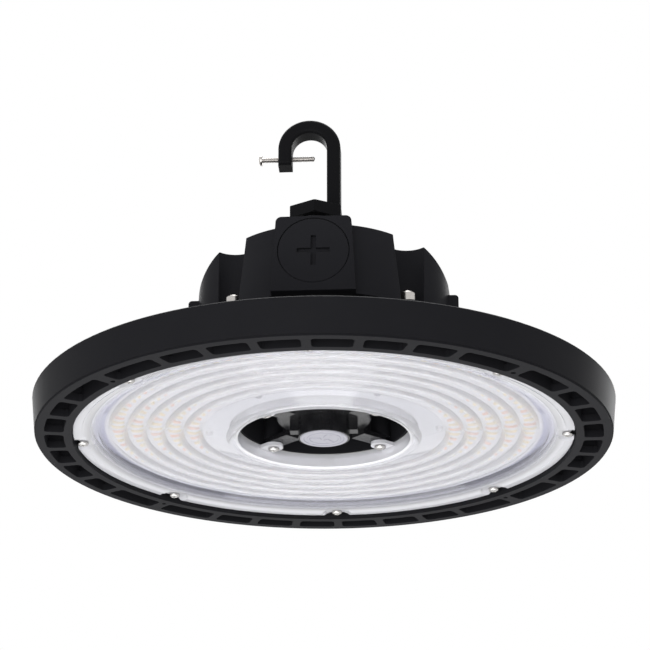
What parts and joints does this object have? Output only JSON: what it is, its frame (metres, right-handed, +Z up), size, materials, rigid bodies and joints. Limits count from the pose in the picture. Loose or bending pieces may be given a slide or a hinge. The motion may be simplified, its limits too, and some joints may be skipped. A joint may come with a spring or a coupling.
{
  "type": "high bay light",
  "caption": "Round black LED high bay light with a slotted rim, ring lens with concentric ridges, driver housing with a screwed wiring plug, and a hanging hook.",
  "frame": {"origin": "on the light's vertical axis, in the plane of the rim's lower face", "axes": "+Z up, from the lens towards the hook; the wiring box and its round plug face -Y; +X to the right seen from the plug's side"},
  "size_m": [0.395, 0.395, 0.2443],
  "materials": {
    "black_casting": "fine matt black powder coat",
    "clear_lens": "slightly frosted polycarbonate",
    "silicone": "soft silicone",
    "black_rubber": "matt",
    "chrome_screw": "nickel-plated",
    "stainless": "bright stainless",
    "white_board": "white solder mask",
    "graphite_sheet": "thermal interface sheet",
    "warm_phosphor": "orange phosphor",
    "neutral_phosphor": "yellow phosphor",
    "white_plastic": "moulded nylon",
    "black_plastic": "satin black moulding",
    "grey_cap": "satin grey moulding",
    "black_hook": "matt black coat on steel",
    "green_board": "green solder mask",
    "ferrite": "sintered ferrite",
    "capacitor_sleeve": "shrink sleeve",
    "brass": "turned brass"
  },
  "bodies": {
    "root": {"heat_sink": "black_casting", "lens": "clear_lens", "lens_gasket_outer": "silicone", "lens_gasket_inner": "silicone", "lens_screws_outer": "chrome_screw", "lens_screws_inner": "chrome_screw", "led_board": "white_board", "thermal_pad": "graphite_sheet", "leds_warm": "warm_phosphor", "leds_neutral": "neutral_phosphor", "board_screws": "chrome_screw", "board_connector": "white_plastic", "sensor_port": "black_plastic", "sensor_cap": "grey_cap", "driver_housing": "black_casting", "housing_gasket": "black_rubber", "housing_bolts": "stainless", "bolt_washers": "stainless", "bolt_spring_washers": "stainless", "conduit_plug": "black_casting", "plug_seal": "black_rubber", "hook": "black_hook", "hook_seal": "black_rubber", "hook_grub_screw": "stainless", "safety_screw": "stainless", "driver_standoffs": "brass", "driver_board": "green_board", "driver_screws": "chrome_screw", "driver_transformer": "ferrite", "driver_capacitors": "capacitor_sleeve", "driver_choke": "ferrite", "terminal_block": "white_plastic"}
  },
  "joints": []
}
